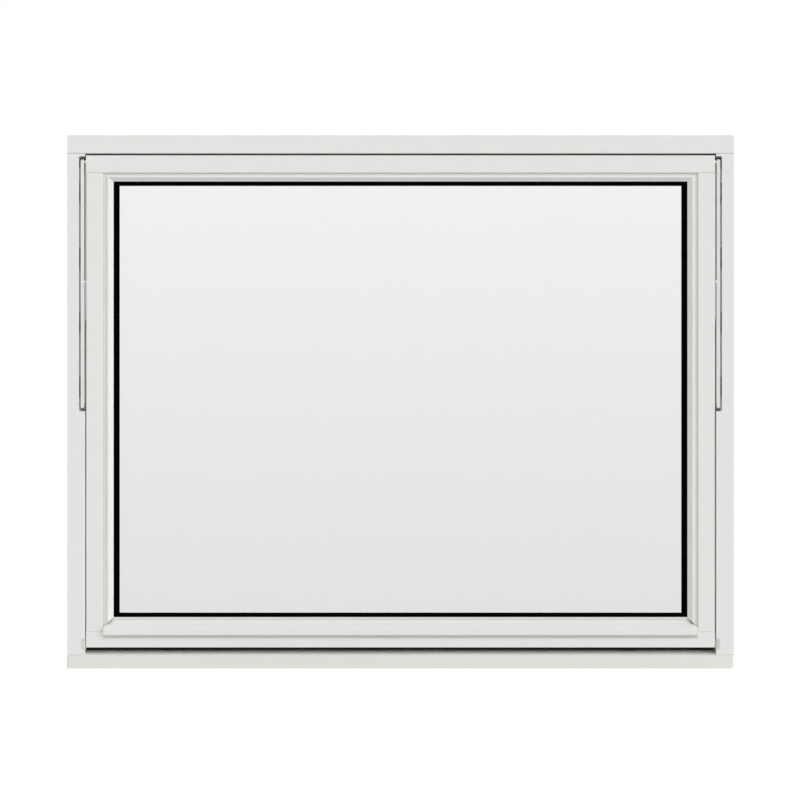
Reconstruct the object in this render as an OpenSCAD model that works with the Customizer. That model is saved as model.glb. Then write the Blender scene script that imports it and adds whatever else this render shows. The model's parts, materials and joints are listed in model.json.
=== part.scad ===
// Top-hung timber window: an outward-opening sash carried by a pair of two-bar
// friction stays that sit in pockets milled into the jambs.
// X runs along the width, -Y faces outdoors and +Z is up.
// The origin is the middle of the sill's underside.

/* [Outer frame] */
// Width over the jambs
frame_w = 1500; // [1100:1:1800]
// Height from the sill's underside to the top of the head
frame_h = 1200; // [1000:1:1500]
// Depth of the frame from outdoors to indoors
frame_d = 115; // [110:1:140]
// Width of a jamb as seen from outdoors
face_w = 40.3; // [36:0.1:60]
// Height of the head as seen from outdoors
head_h = 41.3; // [36:0.1:60]
// How far the stop stands in past the face
stop_step = 13; // [11:1:18]
// Height of the sill's front face
sill_front_h = 29.3; // [24:0.1:40]
// Rise of the bevel above the sill's front face
bevel_rise = 10.5; // [8:0.5:12]
// Depth of the bevel, from front to back
bevel_d = 30; // [12:0.5:34]
// Rise of the sill's seat from the bevel to the stop
sill_rise = 1.7; // [1:0.1:3]
// Height of the stop at the back of the sill
sill_stop_h = 60; // [56:1:70]
// Radius of the painted arrises
arris_r = 3; // [1:0.5:4]

/* [Sash timber] */
// Thickness of the sash
sash_t = 56; // [54:1:60]
// Distance of the sash face behind the frame face
sash_recess = 2; // [0:0.5:4]
// Gap between sash and jamb
side_gap = 1.9; // [1.8:0.1:4]
// Gap between sash and head
top_gap = 3.4; // [2.4:0.1:6]
// Height of the sash's lower edge above the sill's front arris
bottom_gap = 18; // [17:0.1:20]
// Gap between the back of the sash and the stop, bridged by the weatherstrip
stop_gap = 5; // [4:0.5:6]
// Flat width of a stile, outside its glazing bead
stile_flat = 38.3; // [34:0.1:50]
// Flat height of the top rail, above its glazing bead
top_flat = 40.1; // [34:0.1:50]
// Height of the bottom rail up to the joint with the stiles
bottom_flat = 35.7; // [32:0.1:44]
// Height of the bottom rail under the drip bead
bottom_face = 27.7; // [22:0.1:30]

/* [Glazing] */
// Thickness of one pane
pane_t = 4; // [3:0.5:6]
// Cavity between the panes
cavity_t = 16; // [12:1:20]
// Thickness of the glazing gasket on either face of the unit
seat_t = 3; // [2:0.5:4]
// Thickness of the sash lip behind the glass
lip_t = 11; // [9:1:14]
// Width of the glazing beads at the sides
bead_w = 23.8; // [20:0.1:26]
// Width of the glazing bead at the top
bead_top_w = 19.3; // [18:0.1:26]
// Glass covered by the bead
edge_cover = 11; // [9:0.5:14]
// Clearance round the edge of the glass
edge_gap = 3; // [2:0.5:5]
// Width of black gasket that shows at the top and bottom
gasket_lip = 10.1; // [6:0.1:12]
// Width of black gasket that shows at the sides
gasket_side_lip = 13.8; // [8:0.1:16]
// Width of the spacer bar between the panes
spacer_w = 11.5; // [8:0.5:14]
// Distance that the drip bead's nose stands out from the sash face
drip_out = 8; // [4:0.5:12]

/* [Friction stays] */
// Depth of the jamb pocket, sideways
pocket_w = 13.7; // [12.6:0.1:15]
// Depth of the jamb pocket from the frame face
pocket_d = 30; // [29:1:36]
// Length of the jamb pocket
pocket_l = 573.4; // [480:0.1:640]
// Drop from the sash's upper edge to the top of the pocket
pocket_drop = 2.8; // [2:0.1:10]
// Clear length between each end of the track and its pocket
track_end_gap = 7; // [4:0.5:12]
// Thickness of the track, sideways
track_t = 7.9; // [6.8:0.1:8]
// Width of the track from front to back
track_w = 21; // [20:0.5:22]
// Distance of the track's middle behind the sash face
track_setback = 11.5; // [11:0.5:14]
// Width of the arm and of the sash bar
link_w = 16; // [14:0.5:18]
// Diameter of the pivots
pivot_d = 6; // [5:0.5:7]

/* [Lock and handle] */
// Place of each locking cam, unlocked, as a share of the way from the middle to the sash's edge
cam_share = 0.696; // [0.4:0.002:0.72]
// Travel of the lock rods
lock_travel = 18; // [14:1:20]
// Height of the handle's axis above the sash's lower edge
handle_rise = 40.7; // [36:0.1:42]
// Length of the handle's lever from its axis
lever_l = 118; // [90:1:140]
// Distance of the lever's middle behind the sash
lever_out = 37; // [32:1:44]

/* [Frame fixings] */
// Diameter of the fixing holes through the jambs
fixing_d = 10; // [6:0.5:12]
// Height of the lower fixing hole, and the drop of the upper one
fixing_end = 200; // [150:1:300]

/* [Hidden] */

// Fineness of rounds
$fn = 48;
// Segments in the round of an arris
arc_steps = 4;
// Overrun of a cut past the face that it opens
over = 1;
// Running clearance of a pivot in its hole, on the radius
pivot_fit = 0.05;
// Clearance between parts that slide past each other
slide_gap = 0.3;
// Clearance between the stay's layers
layer_gap = 0.4;

// Frame, derived
half_w = frame_w / 2;
y_front = -frame_d / 2;
y_back = frame_d / 2;
face_x = half_w - face_w;
stop_x = face_x - stop_step;
face_z = frame_h - head_h;
stop_z = face_z - stop_step;
y_sash = y_front + sash_recess;
y_sash_back = y_sash + sash_t;
y_stop = y_sash_back + stop_gap;
y_bevel = y_front + bevel_d;
bevel_h = sill_front_h + bevel_rise;
sill_back_h = bevel_h + sill_rise;
sill_slope = atan(sill_rise / (y_stop - y_bevel));
small_r = arris_r / 2;
joint_r = 2.2;
edge_r = 0.8;
function sill_top(y) = bevel_h + sill_rise * (y - y_bevel) / (y_stop - y_bevel);

// Weatherstrip
strip_w = 7;
strip_sill_w = 13;
strip_sill_lift = 0.8;
strip_stem_w = 3;
strip_stem_d = 5;
strip_groove_w = strip_stem_w + slide_gap;
strip_groove_d = strip_stem_d + slide_gap;

// Grooves in the frame
lining_groove_w = 12;
lining_groove_d = 10;
lining_groove_in = 14;
kerf_w = 4;
kerf_d = 4;
kerf_in = 7;

// Sash, derived
sash_x = face_x - side_gap;
sash_top = face_z - top_gap;
sash_bottom = sill_front_h + bottom_gap;
bead_x = sash_x - stile_flat;
sight_x = bead_x - bead_w;
bead_top_z = sash_top - top_flat;
sight_top = bead_top_z - bead_top_w;
drip_under = sash_bottom + bottom_face;
drip_h = 40.7;
sight_bottom = drip_under + drip_h;
bead_bottom_z = sight_bottom - bead_w;
joint_z = sash_bottom + bottom_flat;
unit_t = 2 * pane_t + cavity_t;
y_lip = y_sash_back - lip_t;
y_pane_in = y_lip - seat_t;
y_pane_out = y_pane_in - unit_t;
y_bead = y_pane_out - seat_t;
glass_x = sight_x + edge_cover;
glass_top = sight_top + edge_cover;
glass_bottom = sight_bottom - edge_cover;
rebate_x = glass_x + edge_gap;
rebate_top = glass_top + edge_gap;
block_more = 2;
block_h = edge_gap + block_more;
rebate_bottom = glass_bottom - block_h;
lip_r = 3;

// Glazing bead section
quirk_w = 5;
quirk_d = 4.6;
crown_in = 10.4;
crown_w = 1.6;
crown_d = 1.4;
bead_edge_d = 9.5;
bead_round = 1.2;

// Drip bead section
drip_lip_h = 9;
drip_lip_d = 12.8;
drip_nose_h = 12.4;
cove_r = 4;
drip_kerf_w = 2.5;
drip_kerf_in = 2.5;
nose_r = 2;

// Glazing unit
seal_in = 2;
block_l = 100;
block_x_share = 0.68;
inner_lip = 2;
gasket_edge = 1.5;

// Stays, derived
pocket_x = face_x + pocket_w;
pocket_top = sash_top - pocket_drop;
pocket_bottom = pocket_top - pocket_l;
y_pivot = y_sash + track_setback;
bar_t = 1.5;
arm_t = 1.7;
bar_face = sash_x + bar_t;
arm_in = bar_face + layer_gap;
arm_out = arm_in + arm_t;
track_in = arm_out + layer_gap;
track_out = track_in + track_t;
track_wall = 1.6;
track_base = 2;
track_slot = 9;
track_end_r = 3;
pocket_r = 2.2;
track_line_w = 1;
track_line_d = 0.6;
track_top = pocket_top - track_end_gap;
track_bottom = pocket_bottom + track_end_gap;
pivot_r = pivot_d / 2;
shoe_above = 6;
shoe_below = 30;
shoe_pivot_z = track_top - shoe_above - over;
arm_pivot_up = 12;
arm_pivot_z = track_bottom + arm_pivot_up;
link_l = (shoe_pivot_z - arm_pivot_z) / 2;
mid_pivot_z = arm_pivot_z + link_l;
bar_tail = 80;
back_r = y_sash_back - y_pivot;
boss_r = track_slot / 2 - slide_gap;
rivet_head_r = 5;
rivet_head_t = 0.8;

// Screws
screw_r = 1.9;
screw_head_r = 3.8;
screw_l = 22;
bar_screw_l = 26;
track_screw_shares = [0.1, 0.36, 0.62, 0.88];
bar_screw_shares = [0.14, 0.38, 0.62, 0.9];
packer_l = 30;
packer_w = 12.6;
packer_back = 3.8;

// Guide block in the lower end of each jamb
guide_w = 9.3;
guide_h = 24.5;
guide_d = 22;
guide_lift = 1.5;
guide_z = sill_back_h + guide_lift;
guide_inset = 1;
guide_proud = 1;
guide_ramp = 3;

// Lock
cam_x = cam_share * sash_x;
groove_w = 16;
groove_in = 18;
y_groove = y_sash_back - groove_in;
plate_t = 2;
rod_w = 10;
rod_t = 4;
rod_gap = 1.5;
case_l = 60;
case_t = 15;
case_wall = 10;
case_z = sash_bottom + plate_t;
rod_end = 30;
cam_r = 4;
cam_drop = 5;
keep_t = 2.2;
keep_side = 8;
keep_l = 46;
keep_lip_l = 17;
keep_lip_t = 2;
keep_d = 14;
keep_lip_in = 4.6;
keep_lip_h = 4.4;
face_screw_l = 14;

// Handle
handle_z = sash_bottom + handle_rise;
rose_l = 66;
rose_h = 28;
rose_t = 9;
rose_edge = 2;
neck_r = 7;
lever_h = 18;
lever_t = 11;
lever_tip_share = 0.72;
spindle_r = 3.6;
spindle_in = 16;
rose_screw_x = 24;
rose_screw_r = 2.5;

// Drawing helpers

// Unit vector
function unit(v) = v / norm(v);

// An angle brought between -180 and 180 degrees
function wrapped(a) = a > 180 ? a - 360 : a < -180 ? a + 360 : a;

// The arc that rounds corner b between its neighbours a and c
function corner(a, b, c, r) =
  let (
    u = unit(a - b),
    v = unit(c - b),
    half = acos(max(-1, min(1, u * v))) / 2,
    centre = b + unit(u + v) * r / sin(half),
    first = b + u * r / tan(half) - centre,
    last = b + v * r / tan(half) - centre,
    start = atan2(first[1], first[0]),
    turn = wrapped(atan2(last[1], last[0]) - start)
  )
  [for (i = [0:arc_steps])
    centre + r * [cos(start + turn * i / arc_steps), sin(start + turn * i / arc_steps)]];

function flat(p) = [p[0], p[1]];

// An outline of [x, y, radius] points with its corners rounded
function rounded(points) =
  let (n = len(points))
  [for (i = [0:n - 1])
    each points[i][2] == 0 ? [flat(points[i])]
      : corner(flat(points[(i + n - 1) % n]), flat(points[i]), flat(points[(i + 1) % n]), points[i][2])];

// A flat outline in Y and Z carried along X
module along_x(x0, x1) {
  translate([x0, 0, 0]) rotate([90, 0, 90]) linear_extrude(x1 - x0) children();
}

// A flat outline in X and Y carried up Z
module along_z(z0, z1) {
  translate([0, 0, z0]) linear_extrude(z1 - z0) children();
}

// A flat outline in X and Z carried along Y
module along_y(y0, y1) {
  translate([0, y1, 0]) rotate([90, 0, 0]) linear_extrude(y1 - y0) children();
}

module block(low, high) {
  translate(low) cube(high - low);
}

// A round bar along X
module rod_x(x0, x1, y, z, r) {
  translate([x0, y, z]) rotate([0, 90, 0]) cylinder(h = x1 - x0, r = r);
}

// A round bar along Y
module rod_y(y0, y1, x, z, r) {
  translate([x, y0, z]) rotate([-90, 0, 0]) cylinder(h = y1 - y0, r = r);
}

// What is drawn for the right-hand side, put on either side
module on_side(side) {
  mirror([side < 0 ? 1 : 0, 0, 0]) children();
}

// One side of a rectangular ring in X and Z, mitred at both ends.
// The outline's x runs in from the ring's outer edge and its y is the depth in Y.
// Sides 0 to 3 are the bottom, right, top and left.
// Reach is this side's width and next is that of its neighbours.
module ring_side(side, half_x, low, high, reach, next) {
  half_z = (high - low) / 2;
  across = side % 2 == 0 ? half_x : half_z;
  out = side % 2 == 0 ? half_z : half_x;
  translate([0, 0, (high + low) / 2]) rotate([0, -90 * side, 0]) translate([0, 0, -out])
    rotate([90, 0, 180]) intersection() {
      rotate([90, 0, 90]) translate([0, 0, -across]) linear_extrude(2 * across) children();
      translate([0, 0, y_front]) linear_extrude(frame_d)
        polygon([[-across, 0], [across, 0], [across - next, reach], [next - across, reach]]);
    }
}

// A countersunk wood screw along X, its head flush at x0
module screw_x(x0, length, y, z) {
  translate([x0, y, z]) rotate([0, 90, 0]) {
    cylinder(h = screw_head_r - screw_r, r1 = screw_head_r, r2 = screw_r);
    cylinder(h = length, r = screw_r);
  }
}

// Outer frame

module head_outline(round = true) {
  r = round ? 1 : 0;
  polygon(rounded([
    [y_front, frame_h, 0], [y_front, face_z, r * arris_r], [y_stop, face_z, 0],
    [y_stop, stop_z, r * small_r], [y_back, stop_z, r * arris_r], [y_back, frame_h, 0]
  ]));
}

module sill_outline(round = true) {
  r = round ? 1 : 0;
  polygon(rounded([
    [y_front, 0, 0], [y_back, 0, 0], [y_back, sill_stop_h, r * arris_r],
    [y_stop, sill_stop_h, r * small_r], [y_stop, sill_back_h, 0], [y_bevel, bevel_h, r * small_r],
    [y_front, sill_front_h, r * arris_r]
  ]));
}

module jamb_outline() {
  polygon(rounded([
    [face_x, y_front, arris_r], [half_w, y_front, 0], [half_w, y_back, 0],
    [stop_x, y_back, arris_r], [stop_x, y_stop, small_r], [face_x, y_stop, 0]
  ]));
}

// Places of the weatherstrip's middle on the four stops
strip_x = (stop_x + sash_x) / 2;
strip_top_z = (stop_z + sash_top) / 2;
strip_bottom_z = sill_back_h + strip_sill_lift + strip_sill_w / 2;

module lining_groove_z(edge) {
  block(
    [-half_w + lining_groove_in, y_back - lining_groove_d, edge],
    [half_w - lining_groove_in, y_back + over, edge + lining_groove_w]
  );
}

module strip_groove_x(z) {
  block(
    [-half_w - over, y_stop - over, z - strip_groove_w / 2],
    [half_w + over, y_stop + strip_groove_d, z + strip_groove_w / 2]
  );
}

module frame_head() {
  color("whitesmoke") difference() {
    along_x(-half_w, half_w) head_outline();
    strip_groove_x(strip_top_z);
    lining_groove_z(frame_h - lining_groove_in - lining_groove_w);
    block(
      [-face_x, y_front + kerf_in, face_z - over],
      [face_x, y_front + kerf_in + kerf_w, face_z + kerf_d]
    );
  }
}

module frame_sill() {
  color("whitesmoke") difference() {
    intersection() {
      along_x(-half_w, half_w) sill_outline();
      along_z(0, sill_stop_h) polygon(rounded([
        [-half_w, y_front, arris_r], [half_w, y_front, arris_r], [half_w, y_back, 0], [-half_w, y_back, 0]
      ]));
    }
    strip_groove_x(strip_bottom_z);
    lining_groove_z(lining_groove_in);
    block(
      [-half_w - over, y_front + kerf_in, -over],
      [half_w + over, y_front + kerf_in + kerf_w, kerf_d]
    );
    for (side = [-1, 1]) {
      keep_screw_set(side);
      on_side(side) keep_seat();
    }
  }
}

// Pocket for the stay, with the round corners that its cutter leaves
module stay_pocket() {
  along_y(y_front - over, y_front + pocket_d) polygon(rounded([
    [face_x - over, pocket_bottom, 0], [pocket_x, pocket_bottom, pocket_r],
    [pocket_x, pocket_top, pocket_r], [face_x - over, pocket_top, 0]
  ]));
}

// The V that eases a jamb's foot and a stile's end along their joints, below or above z
module joint_v(y, z, way) {
  along_x(0, half_w + over) polygon([
    [y - over, z - way * over], [y + joint_r, z - way * over], [y + joint_r, z], [y, z + way * joint_r],
    [y - over, z + way * joint_r]
  ]);
}

module guide_notch() {
  block(
    [face_x - over, y_front - over, guide_z],
    [face_x + guide_w, y_front + guide_d, guide_z + guide_h]
  );
}

module fixing_holes() {
  for (z = [fixing_end, frame_h - fixing_end])
    rod_x(stop_x - over, half_w + over, (y_stop + y_back) / 2, z, fixing_d / 2);
}

module frame_jamb(side) {
  color("whitesmoke") on_side(side) difference() {
    along_z(0, frame_h) jamb_outline();
    along_x(-half_w - over, half_w + over) head_outline(false);
    along_x(-half_w - over, half_w + over) sill_outline(false);
    joint_v(y_front, sill_front_h, 1);
    stay_pocket();
    guide_notch();
    fixing_holes();
    block(
      [strip_x - strip_groove_w / 2, y_stop - over, 0],
      [strip_x + strip_groove_w / 2, y_stop + strip_groove_d, frame_h]
    );
    block(
      [half_w - lining_groove_in - lining_groove_w, y_back - lining_groove_d, 0],
      [half_w - lining_groove_in, y_back + over, frame_h]
    );
    track_screw_set();
  }
}

// Weatherstrip: a soft bulb on a stem that presses into the stop's groove.
// The outline's x runs across the strip and its y is the depth.
module strip_outline(width, tip, stem_d) {
  slope = strip_w / 4;
  polygon(rounded([
    [-width / 2, y_stop, 0], [slope - width / 2, tip, slope / 2], [width / 2 - slope, tip, slope / 2],
    [width / 2, y_stop, 0]
  ]));
  if (stem_d > 0)
    translate([-strip_stem_w / 2, y_stop - strip_stem_w / 2])
      square([strip_stem_w, stem_d + strip_stem_w / 2]);
}

strip_tip = y_sash_back + slide_gap;
strip_low = strip_bottom_z + strip_sill_w / 2;
strip_high = strip_top_z - strip_w / 2;

// Back of the sash at the height of the upper strip, where the top rail is eased
function eased_back(z) = y_pivot + sqrt(max(0, back_r * back_r - pow(max(0, z - shoe_pivot_z), 2)));

module strip_along_x(z, width, tip) {
  color("dimgray") along_x(-strip_x - strip_w / 2, strip_x + strip_w / 2)
    translate([0, z]) mirror([1, -1]) strip_outline(width, tip, strip_stem_d);
}

module weatherstrip_head() {
  strip_along_x(strip_top_z, strip_w, eased_back(strip_high) + slide_gap);
}

// The sill's strip is taller, to close off the wide gap under the sash
module weatherstrip_sill() {
  strip_along_x(strip_bottom_z, strip_sill_w, strip_tip);
}

module weatherstrip_jamb(side) {
  color("dimgray") on_side(side) {
    along_z(strip_low, strip_high) translate([strip_x, 0]) strip_outline(strip_w, strip_tip, 0);
    along_z(sill_stop_h, stop_z) translate([strip_x, 0]) strip_outline(strip_w, strip_tip, strip_stem_d);
  }
}

// Guide block that centres the sash as it closes
module guide_block(side) {
  color("lightgray") on_side(side) along_z(guide_z, guide_z + guide_h) polygon(rounded([
    [face_x - guide_proud, y_front + guide_inset + guide_ramp, 0],
    [face_x + guide_ramp, y_front + guide_inset, guide_inset],
    [face_x + guide_w, y_front + guide_inset, 0],
    [face_x + guide_w, y_front + guide_d, 0],
    [face_x - guide_proud, y_front + guide_d, 0]
  ]));
}

// Sash timber

// The top rail's upper back edge is eased to a round about the shoe pivot, to clear the weatherstrip
ease_end = asin((sash_top - shoe_pivot_z) / back_r);
ease_steps = 6;

module top_rail_outline(round = true) {
  r = round ? 1 : 0;
  polygon(concat(
    rounded([
      [y_sash, sash_top, r * small_r], [y_sash, bead_top_z, r * joint_r], [y_bead, bead_top_z, 0],
      [y_bead, rebate_top, 0], [y_lip, rebate_top, 0], [y_lip, sight_top, 0],
      [y_sash_back, sight_top, r * lip_r], [y_sash_back, shoe_pivot_z, 0]
    ]),
    [for (i = [1:ease_steps])
      [y_pivot + back_r * cos(ease_end * i / ease_steps),
        shoe_pivot_z + back_r * sin(ease_end * i / ease_steps)]]
  ));
}

module bottom_rail_outline(round = true) {
  r = round ? 1 : 0;
  polygon(rounded([
    [y_sash, joint_z, r * joint_r], [y_sash, sash_bottom, r * edge_r],
    [y_sash_back, sash_bottom, r * small_r], [y_sash_back, sight_bottom, r * lip_r],
    [y_lip, sight_bottom, 0], [y_lip, rebate_bottom, 0],
    [y_bead, rebate_bottom, 0], [y_bead, joint_z, 0]
  ]));
}

module stile_outline() {
  polygon(rounded([
    [sash_x, y_sash, arris_r], [sash_x, y_sash_back, small_r], [sight_x, y_sash_back, lip_r],
    [sight_x, y_lip, 0], [rebate_x, y_lip, 0], [rebate_x, y_bead, 0],
    [bead_x, y_bead, 0], [bead_x, y_sash, small_r]
  ]));
}

module sash_top_rail() {
  color("whitesmoke") difference() {
    along_x(-sash_x, sash_x) top_rail_outline();
    bar_screw_set(-1);
    bar_screw_set(1);
  }
}

module sash_bottom_rail() {
  color("whitesmoke") difference() {
    along_x(-sash_x, sash_x) bottom_rail_outline();
    block([-bead_x, y_sash - over, drip_under], [bead_x, y_bead, joint_z + over]);
    block(
      [-sash_x - over, y_sash + kerf_in, sash_bottom - over],
      [sash_x + over, y_sash + kerf_in + kerf_w, sash_bottom + kerf_d]
    );
    block(
      [-cam_x - groove_tail, y_groove, sash_bottom - over],
      [cam_x + groove_tail, y_groove + groove_w, rod_z + rod_t + rod_gap]
    );
    block([-case_l / 2, case_y, sash_bottom - over], [case_l / 2, case_y + case_t, case_top]);
    rod_y(y_rod, y_sash_back + over, 0, handle_z, neck_r);
    face_screw_set();
    rose_screw_set();
  }
}

module sash_stile(side) {
  color("whitesmoke") on_side(side) difference() {
    along_z(joint_z, bead_top_z) stile_outline();
    along_x(-sash_x - over, sash_x + over) top_rail_outline(false);
    along_x(-sash_x - over, sash_x + over) bottom_rail_outline(false);
    joint_v(y_sash, bead_top_z, -1);
    bar_screw_set(1);
  }
}

// Glazing beads

// The section is drawn in or out across its width, so that the mitres meet
module bead_outline(width) {
  k = width / bead_w;
  polygon(rounded([
    [0, y_bead, 0], [0, y_sash + quirk_d, 0], [k * quirk_w, y_sash + quirk_d, bead_round],
    [k * crown_in, y_sash + crown_d, bead_round],
    [k * (crown_in + crown_w), y_sash + crown_d, bead_round],
    [width, y_sash + bead_edge_d, 0], [width, y_bead, 0]
  ]));
}

module bead_top() {
  color("whitesmoke") ring_side(2, bead_x, bead_bottom_z, bead_top_z, bead_top_w, bead_w)
    bead_outline(bead_top_w);
}

// The lower ends of the side beads are mitred to the drip bead at 45 degrees
module bead_side(side) {
  color("whitesmoke") intersection() {
    on_side(side) ring_side(1, bead_x, bead_bottom_z - bead_w, bead_top_z, bead_w, bead_top_w)
      bead_outline(bead_w);
    along_y(y_sash, y_bead) polygon([
      [-bead_x, bead_bottom_z], [-sight_x, sight_bottom], [sight_x, sight_bottom], [bead_x, bead_bottom_z],
      [bead_x, bead_top_z], [-bead_x, bead_top_z]
    ]);
  }
}

// The drip bead: a hollow under its lip at the glass, a slope that sheds water, and a nose with a drip kerf
module drip_outline() {
  nose_top = drip_under + drip_nose_h;
  y_nose = y_sash - drip_out;
  y_kerf = y_nose + drip_kerf_in;
  polygon(rounded([
    [y_bead, drip_under, 0], [y_bead, sight_bottom, 0],
    [y_sash + bead_edge_d, sight_bottom, bead_round / 2],
    [y_sash + drip_lip_d, sight_bottom - drip_lip_h, cove_r], [y_nose, nose_top, nose_r],
    [y_nose, drip_under, 0], [y_kerf, drip_under, 0], [y_kerf, drip_under + drip_kerf_w, 0],
    [y_kerf + drip_kerf_w, drip_under + drip_kerf_w, 0], [y_kerf + drip_kerf_w, drip_under, 0]
  ]));
}

module drip_bead() {
  color("whitesmoke") intersection() {
    along_x(-bead_x, bead_x) drip_outline();
    along_y(y_sash - drip_out - over, y_bead + over) polygon([
      [-bead_x, drip_under - over], [bead_x, drip_under - over], [bead_x, bead_bottom_z],
      [sight_x, sight_bottom], [-sight_x, sight_bottom], [-bead_x, bead_bottom_z]
    ]);
  }
}

// Sealed glazing unit

module pane(y) {
  color("lightcyan", 0.35) block([-glass_x, y, glass_bottom], [glass_x, y + pane_t, glass_top]);
}

// A flat ring between two rectangles in X and Z
module flat_ring(y0, y1, outer_x, outer_low, outer_high, inner_x, inner_low, inner_high) {
  difference() {
    block([-outer_x, y0, outer_low], [outer_x, y1, outer_high]);
    block([-inner_x, y0 - over, inner_low], [inner_x, y1 + over, inner_high]);
  }
}

y_cavity = y_pane_out + pane_t;
spacer_in_x = sight_x - gasket_side_lip;
spacer_out_x = spacer_in_x + spacer_w;
spacer_in_low = sight_bottom + gasket_lip;
spacer_in_high = sight_top - gasket_lip;

module spacer_frame() {
  color("black") flat_ring(
    y_cavity, y_cavity + cavity_t,
    spacer_out_x, spacer_in_low - spacer_w, spacer_in_high + spacer_w,
    spacer_in_x, spacer_in_low, spacer_in_high
  );
}

module edge_seal() {
  color("black") flat_ring(
    y_cavity, y_cavity + cavity_t,
    glass_x - seal_in, glass_bottom + seal_in, glass_top - seal_in,
    spacer_out_x, spacer_in_low - spacer_w, spacer_in_high + spacer_w
  );
}

// The outer gasket's lip steps down towards the glass
module outer_gasket() {
  color("black") for (step = [0, gasket_edge])
    flat_ring(
      step == 0 ? y_bead : y_pane_out - gasket_edge, y_pane_out,
      glass_x - seal_in, glass_bottom + seal_in, glass_top - seal_in,
      sight_x - gasket_side_lip + gasket_edge - step,
      sight_bottom + gasket_lip - gasket_edge + step,
      sight_top - gasket_lip + gasket_edge - step
    );
}

module inner_gasket() {
  color("black") flat_ring(
    y_pane_in, y_lip,
    glass_x - seal_in, glass_bottom + seal_in, glass_top - seal_in,
    sight_x - inner_lip, sight_bottom + inner_lip, sight_top - inner_lip
  );
}

module setting_blocks() {
  color("dimgray") for (side = [-1, 1])
    translate([side * glass_x * block_x_share, 0, 0]) block(
      [-block_l / 2, y_pane_out, rebate_bottom],
      [block_l / 2, y_pane_in, glass_bottom]
    );
}

// Friction stays, drawn for the right-hand side

module track_outline() {
  y0 = y_pivot - track_w / 2;
  y1 = y_pivot + track_w / 2;
  slot0 = y_pivot - track_slot / 2;
  slot1 = y_pivot + track_slot / 2;
  floor_x = track_out - track_base;
  lip_x = track_in + track_wall;
  line_x = (track_in + track_out) / 2;
  polygon([
    [track_in, y0], [line_x - track_line_w / 2, y0], [line_x, y0 + track_line_d],
    [line_x + track_line_w / 2, y0], [track_out, y0], [track_out, y1], [track_in, y1],
    [track_in, slot1], [lip_x, slot1], [lip_x, y1 - track_wall], [floor_x, y1 - track_wall],
    [floor_x, y0 + track_wall], [lip_x, y0 + track_wall], [lip_x, slot0], [track_in, slot0]
  ]);
}

function track_screw_z(share) = track_bottom + share * (track_top - track_bottom);

module track_screw_set() {
  for (share = track_screw_shares)
    screw_x(track_out - track_base, screw_l, y_pivot, track_screw_z(share));
}

module stay_track(side) {
  color("gainsboro") on_side(side) difference() {
    intersection() {
      along_z(track_bottom, track_top) track_outline();
      along_y(y_pivot - track_w, y_pivot + track_w) polygon(rounded([
        [track_in, track_bottom, track_end_r], [track_out, track_bottom, track_end_r],
        [track_out, track_top, track_end_r], [track_in, track_top, track_end_r]
      ]));
    }
    track_screw_set();
    rod_x(track_in, track_out + over, y_pivot, arm_pivot_z, pivot_r);
  }
}

module track_packers() {
  color("dimgray") for (side = [-1, 1]) on_side(side) difference() {
    for (share = track_screw_shares)
      translate([0, y_pivot + packer_back, track_screw_z(share)]) block(
        [track_out, -packer_w / 2, -packer_l / 2],
        [pocket_x, packer_w / 2, packer_l / 2]
      );
    track_screw_set();
  }
}

module track_screws() {
  color("silver") for (side = [-1, 1]) on_side(side) track_screw_set();
}

// Rivet that carries the arm on the track, its head sunk flush into the arm
module arm_rivets() {
  color("silver") for (side = [-1, 1]) on_side(side) {
    rod_x(arm_in, track_out, y_pivot, arm_pivot_z, pivot_r);
    rod_x(arm_in, arm_in + rivet_head_t - pivot_fit, y_pivot, arm_pivot_z, rivet_head_r);
  }
}

// A flat link with round ends, between two heights
module link(x0, x1, z0, z1) {
  rod_x(x0, x1, y_pivot, z0, link_w / 2);
  rod_x(x0, x1, y_pivot, z1, link_w / 2);
  block([x0, y_pivot - link_w / 2, z0], [x1, y_pivot + link_w / 2, z1]);
}

module stay_arm(side) {
  color("silver") on_side(side) difference() {
    link(arm_in, arm_out, arm_pivot_z, mid_pivot_z);
    for (z = [arm_pivot_z, mid_pivot_z])
      rod_x(arm_in - over, arm_out + over, y_pivot, z, pivot_r + pivot_fit);
    rod_x(arm_in - over, arm_in + rivet_head_t, y_pivot, arm_pivot_z, rivet_head_r + pivot_fit);
  }
}

module stay_shoe(side) {
  half = track_w / 2 - track_wall - slide_gap;
  color("ivory") on_side(side) {
    block(
      [track_in + track_wall + slide_gap, y_pivot - half, shoe_pivot_z - shoe_below],
      [track_out - track_base - slide_gap, y_pivot + half, shoe_pivot_z + shoe_above]
    );
    rod_x(arm_in, track_in + track_wall + slide_gap, y_pivot, shoe_pivot_z, boss_r);
    rod_x(sash_x + pivot_fit, arm_in, y_pivot, shoe_pivot_z, pivot_r);
  }
}

bar_low = mid_pivot_z - bar_tail;
function bar_screw_z(share) = bar_low + share * (shoe_pivot_z - bar_low);

module bar_screw_set(side) {
  on_side(side) for (share = bar_screw_shares)
    mirror([1, 0, 0]) screw_x(-bar_face, bar_screw_l, y_pivot, bar_screw_z(share));
}

module sash_bar(side) {
  color("silver") on_side(side) difference() {
    link(sash_x, bar_face, bar_low, shoe_pivot_z);
    rod_x(sash_x - over, bar_face + over, y_pivot, shoe_pivot_z, pivot_r + pivot_fit);
    rod_x(sash_x - over, bar_face + over, y_pivot, mid_pivot_z, pivot_r);
    bar_screw_set(1);
  }
}

// Flush rivet that joins the sash bar to the arm
module bar_rivets() {
  color("silver") for (side = [-1, 1]) on_side(side)
    rod_x(sash_x, arm_out, y_pivot, mid_pivot_z, pivot_r);
}

module bar_screws() {
  color("silver") for (side = [-1, 1]) bar_screw_set(side);
}

// Lock in the bottom rail

rod_z = sash_bottom + plate_t + slide_gap;
groove_tail = lock_travel + rod_end;
case_y = y_groove;
case_top = handle_z + case_wall;
y_rod = y_groove + groove_w / 2;

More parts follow.
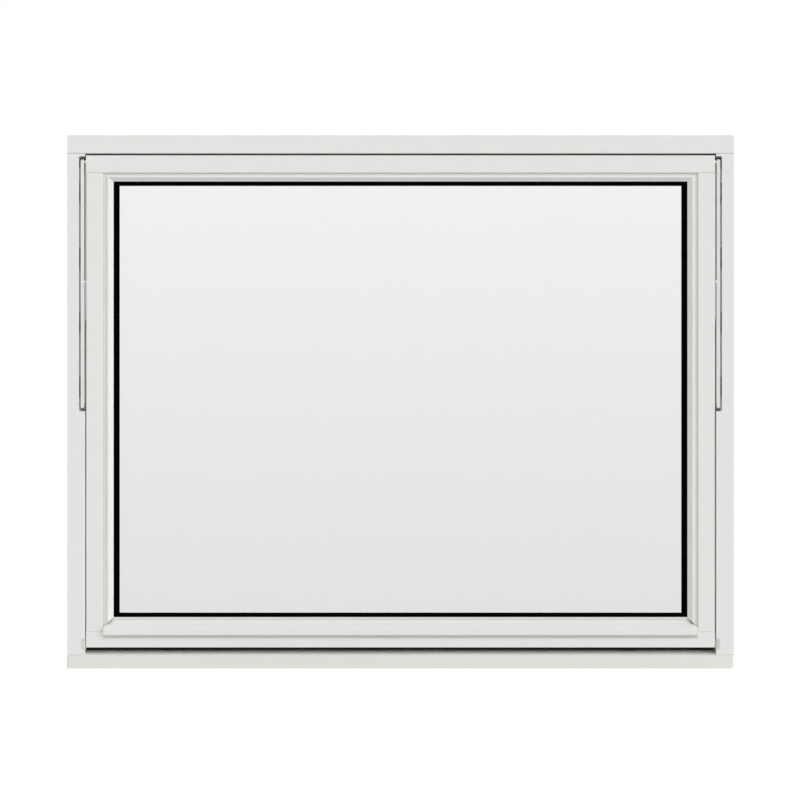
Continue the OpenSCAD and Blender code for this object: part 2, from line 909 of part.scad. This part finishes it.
module lock_case() {
  color("silver") difference() {
    block([-case_l / 2, case_y, case_z], [case_l / 2, case_y + case_t, case_top]);
    rod_y(y_sash_back - spindle_in - pivot_fit, case_y + case_t + over, 0, handle_z, spindle_r + pivot_fit);
    rose_screw_set();
  }
}

// Slot for a locking cam, drawn for the right-hand side
module cam_slot() {
  r = cam_r + slide_gap;
  translate([0, 0, sash_bottom - over]) {
    translate([cam_x, y_rod, 0]) cylinder(h = plate_t + 2 * over, r = r);
    translate([cam_x + lock_travel, y_rod, 0]) cylinder(h = plate_t + 2 * over, r = r);
    translate([cam_x, y_rod - r, 0]) cube([lock_travel, 2 * r, plate_t + 2 * over]);
  }
}

// Faceplate screws sit beyond the rods, and between them under the lock case
face_screw_end = groove_tail / 4;

module face_screw_set() {
  for (side = [-1, 1])
    translate([side * (cam_x + groove_tail - face_screw_end), y_rod, sash_bottom]) {
      cylinder(h = screw_head_r - screw_r, r1 = screw_head_r, r2 = screw_r);
      cylinder(h = face_screw_l, r = screw_r);
    }
}

module lock_faceplate() {
  color("silver") difference() {
    block(
      [-cam_x - groove_tail, y_groove, sash_bottom],
      [cam_x + groove_tail, y_groove + groove_w, sash_bottom + plate_t]
    );
    for (side = [-1, 1]) on_side(side) cam_slot();
    face_screw_set();
  }
}

module faceplate_screws() {
  color("silver") face_screw_set();
}

// Clear length between a rod and the lock case or the end screw
rod_end_gap = slide_gap;

module lock_rod(side) {
  color("silver") on_side(side) difference() {
    block(
      [case_l / 2 + rod_end_gap, y_rod - rod_w / 2, rod_z],
      [cam_x + rod_end / 2, y_rod + rod_w / 2, rod_z + rod_t]
    );
    translate([cam_x, y_rod, rod_z - over]) cylinder(h = rod_t + 2 * over, r = cam_r / 2);
  }
}

// Cam: a headed stud riveted into the rod, hanging below the sash
module lock_cam(side) {
  color("silver") on_side(side) translate([cam_x, y_rod, 0]) {
    translate([0, 0, sash_bottom - cam_drop]) cylinder(h = rod_z - sash_bottom + cam_drop, r = cam_r);
    translate([0, 0, rod_z]) cylinder(h = rod_t, r = cam_r / 2);
  }
}

// Keep: a plate let into the sill's slope, with a lip that stands in front of the locked cam
keep_start = cam_x - keep_side;
keep_end = keep_start + keep_l;
keep_lip_x = cam_x + lock_travel - keep_lip_l / 2;
keep_front = -keep_lip_in - keep_lip_t;

// Children drawn with Z square to the sill's slope, from the point under the rods
module on_slope() {
  translate([0, y_rod, sill_top(y_rod)]) rotate([sill_slope, 0, 0]) children();
}

module keep_seat() {
  on_slope() block([keep_start, keep_front, -keep_t], [keep_end, keep_front + keep_d, over]);
}

module keep_screw_set(side) {
  on_side(side) on_slope() for (x = [keep_start + 2 * screw_head_r, keep_end - 2 * screw_head_r])
    translate([x, keep_front + keep_d / 2, 0]) mirror([0, 0, 1]) {
      cylinder(h = screw_head_r - screw_r, r1 = screw_head_r, r2 = screw_r);
      cylinder(h = screw_l, r = screw_r);
    }
}

module lock_keep(side) {
  color("silver") on_side(side) difference() {
    on_slope() {
      block([keep_start, keep_front, -keep_t], [keep_end, keep_front + keep_d, 0]);
      block([keep_lip_x, keep_front, -keep_t], [keep_end, -keep_lip_in, keep_lip_h]);
    }
    keep_screw_set(1);
  }
}

module keep_screws() {
  color("silver") for (side = [-1, 1]) keep_screw_set(side);
}

// Handle

// A plate with round ends, and with its edge bevelled from r0 to r1
module rose_plate(y0, y1, r0, r1) {
  half = (rose_l - rose_h) / 2;
  for (x = [-half, half])
    translate([x, y0, handle_z]) rotate([-90, 0, 0]) cylinder(h = y1 - y0, r1 = r0, r2 = r1);
  along_x(-half, half) polygon([
    [y0, handle_z - r0], [y1, handle_z - r1], [y1, handle_z + r1], [y0, handle_z + r0]
  ]);
}

module rose_screw_set() {
  for (x = [-rose_screw_x, rose_screw_x])
    rod_y(y_sash_back - screw_l / 2, y_sash_back + rose_t / 2, x, handle_z, rose_screw_r);
}

module handle_rose() {
  y_rose = y_sash_back + rose_t - rose_edge;
  color("white") difference() {
    union() {
      rose_plate(y_sash_back, y_rose, rose_h / 2, rose_h / 2);
      rose_plate(y_rose, y_sash_back + rose_t, rose_h / 2, rose_h / 2 - rose_edge);
    }
    rod_y(y_sash_back - over, y_sash_back + rose_t + over, 0, handle_z, neck_r + pivot_fit);
    rose_screw_set();
  }
}

module rose_screws() {
  color("silver") rose_screw_set();
}

// The grip: two rounds joined by their tangents
module lever_grip(y0, y1) {
  root_r = lever_h / 2;
  tip_r = root_r * lever_tip_share;
  reach = lever_l - tip_r;
  a = asin((root_r - tip_r) / reach);
  rod_y(y0, y1, 0, handle_z, root_r);
  rod_y(y0, y1, reach, handle_z, tip_r);
  translate([0, 0, handle_z]) along_y(y0, y1) polygon([
    [root_r * sin(a), -root_r * cos(a)], [reach + tip_r * sin(a), -tip_r * cos(a)],
    [reach + tip_r * sin(a), tip_r * cos(a)], [root_r * sin(a), root_r * cos(a)]
  ]);
}

module handle_lever() {
  y0 = y_sash_back + lever_out - lever_t / 2;
  y1 = y_sash_back + lever_out + lever_t / 2;
  color("white") difference() {
    union() {
      rod_y(y_sash_back, y1, 0, handle_z, neck_r);
      lever_grip(y0, y1);
    }
    rod_y(y_sash_back - over, y_sash_back + rose_t, 0, handle_z, spindle_r);
  }
}

module handle_spindle() {
  color("silver") rod_y(y_sash_back - spindle_in, y_sash_back + rose_t, 0, handle_z, spindle_r);
}

frame_head();
frame_sill();
frame_jamb(-1);  // frame_jamb_left
frame_jamb(1);  // frame_jamb_right
weatherstrip_head();
weatherstrip_sill();
weatherstrip_jamb(-1);  // weatherstrip_left
weatherstrip_jamb(1);  // weatherstrip_right
stay_track(-1);  // stay_track_left
stay_track(1);  // stay_track_right
track_packers();
track_screws();
arm_rivets();
guide_block(-1);  // guide_block_left
guide_block(1);  // guide_block_right
lock_keep(-1);  // lock_keep_left
lock_keep(1);  // lock_keep_right
keep_screws();
sash_top_rail();
sash_bottom_rail();
sash_stile(-1);  // sash_stile_left
sash_stile(1);  // sash_stile_right
bead_top();
bead_side(-1);  // bead_left
bead_side(1);  // bead_right
drip_bead();
pane(y_pane_out);  // glass_outer
pane(y_pane_in - pane_t);  // glass_inner
spacer_frame();
edge_seal();
outer_gasket();
inner_gasket();
setting_blocks();
sash_bar(-1);  // sash_bar_left
sash_bar(1);  // sash_bar_right
bar_rivets();
bar_screws();
lock_case();
lock_faceplate();
faceplate_screws();
handle_rose();
rose_screws();
stay_arm(-1);  // stay_arm_left
stay_arm(1);  // stay_arm_right
stay_shoe(-1);  // stay_shoe_left
stay_shoe(1);  // stay_shoe_right
handle_lever();
handle_spindle();
lock_rod(-1);  // lock_rod_left
lock_rod(1);  // lock_rod_right
lock_cam(-1);  // lock_cam_left
lock_cam(1);  // lock_cam_right
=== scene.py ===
"""Looks of a top-hung timber window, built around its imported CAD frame. Metres, -Y outdoors, +Z up."""

import json
import math

import bpy
import numpy as np
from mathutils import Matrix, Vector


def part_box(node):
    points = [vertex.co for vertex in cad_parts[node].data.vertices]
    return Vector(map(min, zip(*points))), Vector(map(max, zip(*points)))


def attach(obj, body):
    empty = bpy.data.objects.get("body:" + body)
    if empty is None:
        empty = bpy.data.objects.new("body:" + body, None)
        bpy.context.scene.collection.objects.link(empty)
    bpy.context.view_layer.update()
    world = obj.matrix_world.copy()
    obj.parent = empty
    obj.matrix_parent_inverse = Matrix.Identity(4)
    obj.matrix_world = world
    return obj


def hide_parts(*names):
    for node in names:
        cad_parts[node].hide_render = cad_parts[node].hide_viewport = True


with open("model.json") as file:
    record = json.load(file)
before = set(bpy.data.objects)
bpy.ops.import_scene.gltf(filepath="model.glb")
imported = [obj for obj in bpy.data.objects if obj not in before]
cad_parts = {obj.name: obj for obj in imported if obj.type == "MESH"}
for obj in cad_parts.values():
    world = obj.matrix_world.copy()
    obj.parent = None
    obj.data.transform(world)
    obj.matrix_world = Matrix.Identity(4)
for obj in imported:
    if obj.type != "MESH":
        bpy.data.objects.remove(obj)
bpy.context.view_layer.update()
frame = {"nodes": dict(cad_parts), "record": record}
scene = bpy.context.scene
MM = 0.001
AROUND = 48  # points around a turned or rounded section


# Materials

def colour(code):
    """A hex sRGB colour as linear RGBA: each channel by the sRGB curve."""
    c = np.array([int(code[i:i + 2], 16) for i in (1, 3, 5)]) / 255
    c = np.where(c <= 0.04045, c / 12.92, ((c + 0.055) / 1.055) ** 2.4)
    return (*c.tolist(), 1.0)


def add(tree, kind, settings=None, links=None, **props):
    """One shader node: its properties, its socket values, and its links given as {input: output socket}."""
    n = tree.nodes.new(kind)
    for k, v in props.items():
        setattr(n, k, v)
    for k, v in (settings or {}).items():
        n.inputs[k].default_value = v
    for k, v in (links or {}).items():
        tree.links.new(v, n.inputs[k])
    return n


def material(name, **sockets):
    """A new material: its node tree and its principled shader, with the given sockets set."""
    m = bpy.data.materials.new(name)
    m.use_nodes = True
    shader = m.node_tree.nodes["Principled BSDF"]
    for k, v in sockets.items():
        shader.inputs[k.replace("_", " ")].default_value = v
    return m, m.node_tree, shader


def painted_timber(name, grain, pale="#EAEAEA", dull="#E7E7E7", groove_shade=None):
    """Satin white paint over planed pine. The eye sees an even white with a soft sheen; up close the grain
    shows through the paint as long low ripples, drawn 2 mm apart so that they show, and tone and gloss drift
    over 60 mm. Where a colour for groove shade is given, the paint is darkened towards it in grooves up to
    10 mm wide: painted shade, strongest where the groove's walls stand closest."""
    drift_l, ripple_l, ripple_h, groove_w = 60 * MM, 2 * MM, 0.08 * MM, 10 * MM
    m, t, shader = material(name, Base_Color=colour(pale), Roughness=0.42)
    place = add(t, "ShaderNodeTexCoord").outputs["Object"]
    along = add(t, "ShaderNodeMapping", {"Scale": grain}, {"Vector": place}).outputs["Vector"]
    drift = add(t, "ShaderNodeTexNoise", {"Scale": 1 / drift_l, "Detail": 3}, {"Vector": along})
    drift = drift.outputs["Fac"]
    tone = add(t, "ShaderNodeValToRGB", None, {"Fac": drift})
    for stop, code in zip(tone.color_ramp.elements, (dull, pale)):
        stop.color = colour(code)
    shade = tone.outputs["Color"]
    if groove_shade:
        # painted shade: where the groove's walls hide the paint from the room, it is darkened towards the
        # shade colour
        room = add(t, "ShaderNodeAmbientOcclusion", {"Distance": groove_w}, samples=8).outputs["AO"]
        shade_share = add(t, "ShaderNodeMapRange", {"From Min": 0.92, "From Max": 0.2}, {"Value": room})
        mixed = {"Fac": shade_share.outputs["Result"], "Color1": shade}
        shade = add(t, "ShaderNodeMixRGB", {"Color2": colour(groove_shade)}, mixed).outputs["Color"]
    gloss = add(t, "ShaderNodeMapRange", {"To Min": 0.36, "To Max": 0.5}, {"Value": drift})
    ripple = add(t, "ShaderNodeTexNoise", {"Scale": 1 / ripple_l, "Detail": 3}, {"Vector": along})
    ripple = ripple.outputs["Fac"]
    raised = add(t, "ShaderNodeBump", {"Strength": 0.6, "Distance": ripple_h}, {"Height": ripple})
    t.links.new(shade, shader.inputs["Base Color"])
    t.links.new(gloss.outputs["Result"], shader.inputs["Roughness"])
    t.links.new(raised.outputs["Normal"], shader.inputs["Normal"])
    return m


def even_finish(name, base, rough, grain_mm, depth_mm, **sockets):
    """One colour with a fine all-over texture of grain_mm and depth_mm, whose gloss drifts a little: the
    orange peel of powder coat, the crystals of zinc plate, the bloom of rubber, the matt of moulded
    plastic."""
    drift_mm, spread = 12 * grain_mm, 0.1
    m, t, shader = material(name, Base_Color=colour(base), Roughness=rough, **sockets)
    place = add(t, "ShaderNodeTexCoord").outputs["Object"]
    drift = add(t, "ShaderNodeTexNoise", {"Scale": 1 / (drift_mm * MM)}, {"Vector": place}).outputs["Fac"]
    span = {"To Min": rough - spread, "To Max": rough + spread}
    gloss = add(t, "ShaderNodeMapRange", span, {"Value": drift})
    grain = add(t, "ShaderNodeTexNoise", {"Scale": 1 / (grain_mm * MM)}, {"Vector": place}).outputs["Fac"]
    raised = add(t, "ShaderNodeBump", {"Strength": 0.4, "Distance": depth_mm * MM}, {"Height": grain})
    t.links.new(gloss.outputs["Result"], shader.inputs["Roughness"])
    t.links.new(raised.outputs["Normal"], shader.inputs["Normal"])
    return m


def spacer_bar(name):
    """Warm-edge bar of coated steel: near black and matt, dotted by the drying holes, drawn 4 mm apart."""
    pitch, hole_h = 4 * MM, 0.2 * MM
    m, t, shader = material(name, Base_Color=colour("#060606"), Roughness=0.6)
    place = add(t, "ShaderNodeTexCoord").outputs["Object"]
    holes = add(t, "ShaderNodeTexVoronoi", {"Scale": 1 / pitch, "Randomness": 0}, {"Vector": place})
    apart = holes.outputs["Distance"]
    rim = add(t, "ShaderNodeMapRange", {"From Min": 0.1, "From Max": 0.2}, {"Value": apart})
    height = {"Height": rim.outputs["Result"]}
    raised = add(t, "ShaderNodeBump", {"Strength": 0.5, "Distance": hole_h}, height)
    t.links.new(raised.outputs["Normal"], shader.inputs["Normal"])
    return m


def float_glass(name):
    """Clear float glass: a faint green-grey, with mirror-smooth faces. Light for shadows and for matt
    surfaces goes straight through, as it nearly does through a flat pane."""
    m, t, shader = material(name, Base_Color=colour("#F8F8F8"), Roughness=0, Transmission_Weight=1, IOR=1.5)
    path = add(t, "ShaderNodeLightPath").outputs
    rays = {0: path["Is Shadow Ray"], 1: path["Is Diffuse Ray"]}
    straight = add(t, "ShaderNodeMath", None, rays, operation="MAXIMUM").outputs[0]
    clear = add(t, "ShaderNodeBsdfTransparent", {"Color": colour("#F6F8F7")}).outputs["BSDF"]
    mix = add(t, "ShaderNodeMixShader", None, {0: straight, 1: shader.outputs["BSDF"], 2: clear})
    t.links.new(mix.outputs["Shader"], t.nodes["Material Output"].inputs["Surface"])
    return m


ALONG_X, ALONG_Z = (0.07, 1, 1), (1, 1, 0.07)  # the grain is drawn out along the length of a piece
timber_x = painted_timber("white_painted_pine_along_x", ALONG_X)
timber_z = painted_timber("white_painted_pine_along_z", ALONG_Z)
# the beads' paint carries painted shade in its grooves, darkened towards #A9A899
bead_x = painted_timber("white_painted_bead_shaded_grooves_along_x", ALONG_X, groove_shade="#A9A899")
bead_z = painted_timber("white_painted_bead_shaded_grooves_along_z", ALONG_Z, groove_shade="#A9A899")
sill_timber = painted_timber("white_painted_sill_pine", ALONG_X, "#E5E5E2", "#E2E2DF")
rubber = even_finish("black_epdm_rubber", "#020202", 0.8, 0.6, 0.01, Specular_IOR_Level=0.02)
strip = even_finish("charcoal_weatherstrip", "#565650", 0.75, 0.6, 0.01, Specular_IOR_Level=0.2)
black_zinc = even_finish("black_zinc_plate", "#3A3A3A", 0.5, 0.5, 0.004, Metallic=1)
zinc = even_finish("zinc_plated_steel", "#B4B6B8", 0.36, 0.5, 0.004, Metallic=1)
coat = even_finish("white_powder_coat", "#E8E8E6", 0.42, 0.9, 0.012)
grey_plastic = even_finish("light_grey_moulded_plastic", "#D2D2D0", 0.5, 0.7, 0.008)
dark_plastic = even_finish("dark_grey_moulded_plastic", "#686866", 0.5, 0.7, 0.008)
nylon = even_finish("natural_nylon", "#E6E1D2", 0.45, 0.9, 0.006)
spacer = spacer_bar("black_warm_edge_bar")
glass = float_glass("clear_float_glass")

BY_SLOT = {"painted_timber": timber_x, "zinc_steel": zinc, "black_zinc": black_zinc, "epdm": rubber,
           "charcoal_strip": strip, "white_coated_metal": coat, "grey_plastic": grey_plastic,
           "dark_plastic": dark_plastic, "nylon": nylon, "black_spacer": spacer, "clear_glass": glass}
BY_NODE = {"frame_jamb_left": timber_z, "frame_jamb_right": timber_z, "sash_stile_left": timber_z,
           "sash_stile_right": timber_z, "bead_left": bead_z, "bead_right": bead_z, "bead_top": bead_x,
           "drip_bead": bead_x, "frame_sill": sill_timber}
SLOT_OF = {part["node"]: part["material_slot"] for part in frame["record"]["subparts"]}
for node, slot in SLOT_OF.items():
    mesh = frame["nodes"][node].data
    mesh.materials.clear()
    mesh.materials.append(BY_NODE.get(node, BY_SLOT[slot]))


# Pieces worked out here

def skin(name, rings, mat, body, node):
    """Closed skins over grids of points, shaped (skins, rings, points, 3): faces join each ring to the next,
    and a flat cap closes each end. The piece stands for a CAD node and rides on its body."""
    at = np.arange(rings[..., 0].size).reshape(rings.shape[:3])
    on = np.roll(at, -1, axis=2)
    sides = np.stack([at[:, :-1], at[:, 1:], on[:, 1:], on[:, :-1]], axis=-1).reshape(-1, 4)
    caps = at[:, 0].tolist() + at[:, -1, ::-1].tolist()
    me = bpy.data.meshes.new(name)
    me.from_pydata(rings.reshape(-1, 3).tolist(), [], sides.tolist() + caps)
    me.shade_smooth()
    me.set_sharp_from_angle(angle=math.radians(38))
    me.materials.append(mat)
    o = bpy.data.objects.new(name, me)
    scene.collection.objects.link(o)
    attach(o, body)
    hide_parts(node)


def lever():
    """Handle lever: a superellipse carried along a path that leaves the rose, turns through 90 degrees and
    runs along the rail. A smooth step takes its half-widths from the round neck to the flat grip, the grip
    tapers evenly, and the tip closes as half an ellipse. The rings stand closer towards the tip."""
    low, high = (np.array(c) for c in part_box("handle_lever"))
    neck_r, grip_t, bend_r, tip_l = 7 * MM, 11 * MM, 15 * MM, 7 * MM
    taper, power, crowding, ease_share, steps = 0.3, 2.7, 1.6, 1.6, 110
    root = (high[2] - low[2]) / 2
    rise = high[1] - grip_t / 2 - bend_r - low[1]
    turn = bend_r * math.pi / 2
    total = rise + turn + high[0] - bend_r
    s = total * (1 - (1 - np.linspace(0, 1, steps)) ** crowding)
    angle = np.clip((s - rise) / bend_r, 0, math.pi / 2)
    run = np.clip((s - rise) / (ease_share * turn), 0, 1)
    run = run * run * (3 - 2 * run)
    close = np.sqrt(np.maximum(1 - np.clip((s - total + tip_l) / tip_l, 0, 1) ** 2, 1e-4))
    narrowing = 1 - taper * np.clip((s - rise - turn) / (total - rise - turn), 0, 1)
    tall = (neck_r + (root - neck_r) * run) * narrowing
    deep = neck_r + (grip_t / 2 - neck_r) * run
    middle = np.stack([bend_r * (1 - np.cos(angle)) + np.maximum(s - rise - turn, 0),
                       low[1] + np.minimum(s, rise) + bend_r * np.sin(angle),
                       0 * s + low[2] + root], axis=-1)
    across = np.stack([np.cos(angle), -np.sin(angle), 0 * s], axis=-1)
    t = np.linspace(0, 2 * math.pi, AROUND, endpoint=False)
    u, v = (np.sign(w) * np.abs(w) ** (2 / power) for w in (np.cos(t), np.sin(t)))
    rings = middle[:, None] + (close * deep)[:, None, None] * u[:, None] * across[:, None]
    rings[..., 2] += (close * tall)[:, None] * v
    skin("lever", rings[None], coat, "handle", "handle_lever")


def solids(node, axis):
    """Points of each screw in a CAD node: the points left and right of the middle, sorted along the axis
    and split wherever they leave over 5 mm."""
    apart = 5 * MM
    me = frame["nodes"][node].data
    co = np.empty(3 * len(me.vertices), np.float32)
    me.vertices.foreach_get("co", co)
    co = co.reshape(-1, 3).astype(float)
    groups = []
    for half in (co[co[:, 0] < 0], co[co[:, 0] > 0]):
        half = half[np.argsort(half[:, axis])]
        groups += np.split(half, np.nonzero(np.diff(half[:, axis]) > apart)[0] + 1)
    return groups


def screws(node, body, axis, out, mat):
    """Countersunk screws turned about their axes: a flat head, a cone at 45 degrees and a shank. The head's
    face is sunk by a cross recess, where the nearer of the cross's two middle lines is within a sixth of the
    head's radius. Places and sizes come from the CAD screws; out gives the way that a head faces, left or
    right."""
    arm_share, reach_share, sunk_share, edge_share, end_share = 1 / 6, 0.62, 0.3, 0.06, 0.1
    groups = solids(node, axis)
    ways = np.array([out(np.sign(g[0, 0])) for g in groups], float)
    along = [g @ w for g, w in zip(groups, ways)]
    rims = [g[a > a.max() - 0.01 * MM] for g, a in zip(groups, along)]
    heads = np.array([(r.min(axis=0) + r.max(axis=0)) / 2 for r in rims])
    head_r = np.ptp(rims[0], axis=0).max() / 2
    length = np.ptp(along[0])
    shank_r = head_r / 2
    side = np.cross(ways, (0.3, 0.5, 0.8))
    side /= np.linalg.norm(side, axis=1)[:, None]
    up = np.cross(ways, side)
    face = np.linspace(0.04, 1, 14)
    r = np.concatenate([head_r * face, [shank_r, shank_r, shank_r / 4]])
    depth = np.concatenate([0 * face, [head_r - shank_r, length - shank_r, length]])
    t = np.linspace(0, 2 * math.pi, AROUND, endpoint=False)
    x, y = r[:, None] * np.cos(t), r[:, None] * np.sin(t)
    arm = np.clip((arm_share * head_r - np.minimum(np.abs(x), np.abs(y))) / (edge_share * head_r), 0, 1)
    end = np.clip((reach_share * head_r - r[:, None]) / (end_share * head_r), 0, 1)
    z = depth[:, None] + sunk_share * head_r * arm * end * (depth[:, None] == 0)
    rings = heads[:, None, None] + (x[..., None] * side[:, None, None] + y[..., None] * up[:, None, None]
                                    - z[..., None] * ways[:, None, None])
    skin(node + "_turned", rings, mat, body, node)


SEAT_FALL = math.radians(2.95)  # the keeps lie in the sill's seat, which falls outwards
lever()
screws("bar_screws", "sash", 2, lambda w: (w, 0, 0), zinc)
screws("track_screws", "frame", 2, lambda w: (-w, 0, 0), zinc)
screws("keep_screws", "frame", 0, lambda w: (0, -math.sin(SEAT_FALL), math.cos(SEAT_FALL)), black_zinc)
screws("faceplate_screws", "sash", 0, lambda w: (0, 0, -1), zinc)


# Stage

REACH = 20  # the floor's half-width
FAR, FOOT, TOP = 19.9, 0.01, 3  # the backdrop's distance behind the window, and its lower and upper edge


def quad(name, corners, mat):
    """A flat four-cornered sheet."""
    me = bpy.data.meshes.new(name)
    me.from_pydata(corners, [], [(0, 1, 2, 3)])
    me.materials.append(mat)
    o = bpy.data.objects.new(name, me)
    scene.collection.objects.link(o)
    return o


def backdrop_material():
    """Light seen through the glass: a sheet that is paler at the top, from the height of the glass's lower
    edge to that of its upper edge."""
    glass_z, glow_from_to = (0.12, 1.09), (0.835, 0.99)
    m = bpy.data.materials.new("pale_backdrop")
    m.use_nodes = True
    t = m.node_tree
    t.nodes.clear()
    place = add(t, "ShaderNodeTexCoord").outputs["Object"]
    z = add(t, "ShaderNodeSeparateXYZ", None, {0: place}).outputs["Z"]
    ends = dict(zip(("From Min", "From Max", "To Min", "To Max"), glass_z + glow_from_to))
    level = add(t, "ShaderNodeMapRange", ends, {"Value": z})
    glow = add(t, "ShaderNodeEmission", None, {"Strength": level.outputs["Result"]})
    add(t, "ShaderNodeOutputMaterial", None, {"Surface": glow.outputs["Emission"]})
    return m


floor_mat, _, _ = material("pale_floor", Base_Color=colour("#F2F2F1"), Roughness=0.8)
quad("floor", [(-REACH, -REACH, 0), (REACH, -REACH, 0), (REACH, REACH, 0), (-REACH, REACH, 0)], floor_mat)
backdrop = quad("backdrop", [(-REACH, FAR, FOOT), (REACH, FAR, FOOT), (REACH, FAR, TOP), (-REACH, FAR, TOP)],
                backdrop_material())
for ray in ("camera", "diffuse", "glossy", "shadow", "volume_scatter"):  # so only refracted rays see it
    setattr(backdrop, "visible_" + ray, False)


# Light

scene.view_settings.view_transform = "Standard"
world = bpy.data.worlds.new("studio")
scene.world = world
world.use_nodes = True
sky = world.node_tree
path = add(sky, "ShaderNodeLightPath").outputs
seen = path["Is Camera Ray"]
for ray in ("Is Transmission Ray", "Is Glossy Ray"):
    seen = add(sky, "ShaderNodeMath", None, {0: seen, 1: path[ray]}, operation="MAXIMUM").outputs[0]
# a ray that a matt surface has scattered sees the room's light, also once it has gone through the glass
direct = add(sky, "ShaderNodeMath", {1: 0.5}, {0: path["Diffuse Depth"]}, operation="LESS_THAN").outputs[0]
white = add(sky, "ShaderNodeMath", None, {0: seen, 1: direct}, operation="MULTIPLY").outputs[0]
tones = {"Color1": colour("#969692"), "Color2": colour("#FFFFFF")}
light = add(sky, "ShaderNodeMixRGB", tones, {"Fac": white}).outputs["Color"]
sky.links.new(light, sky.nodes["Background"].inputs["Color"])


def sun(name, way, soft, strength):
    """A distant lamp that shines from the direction way and is soft degrees wide. Only a small one is
    mirrored or seen through the glass: a wide one would cover a tilted pane with its disc."""
    widest_seen = 30
    d = bpy.data.lights.new(name, "SUN")
    d.angle = math.radians(soft)
    d.energy = strength
    o = bpy.data.objects.new(name, d)
    x, y, z = np.array(way) / np.linalg.norm(way)
    o.rotation_euler = (math.acos(z), 0, math.atan2(x, -y))
    o.visible_glossy = o.visible_transmission = soft < widest_seen
    scene.collection.objects.link(o)


sun("key", (0, -0.35, 0.33), 10, 1.09)
sun("side", (0.94, -0.335, 0.03), 80, 2.9)
sun("fill", (-0.25, 0.9, 0.12), 60, 1.5)


# Camera

VIEW_W = 1.8005  # the width that the camera sees
EYE = (-0.0011, -6, 0.6042)
cam = bpy.data.cameras.new("camera")
cam.type = "ORTHO"
cam.ortho_scale = VIEW_W
cam.dof.use_dof = False
eye = bpy.data.objects.new("camera", cam)
eye.location = EYE
eye.rotation_euler = (math.radians(90), 0, 0)
scene.collection.objects.link(eye)
scene.camera = eye
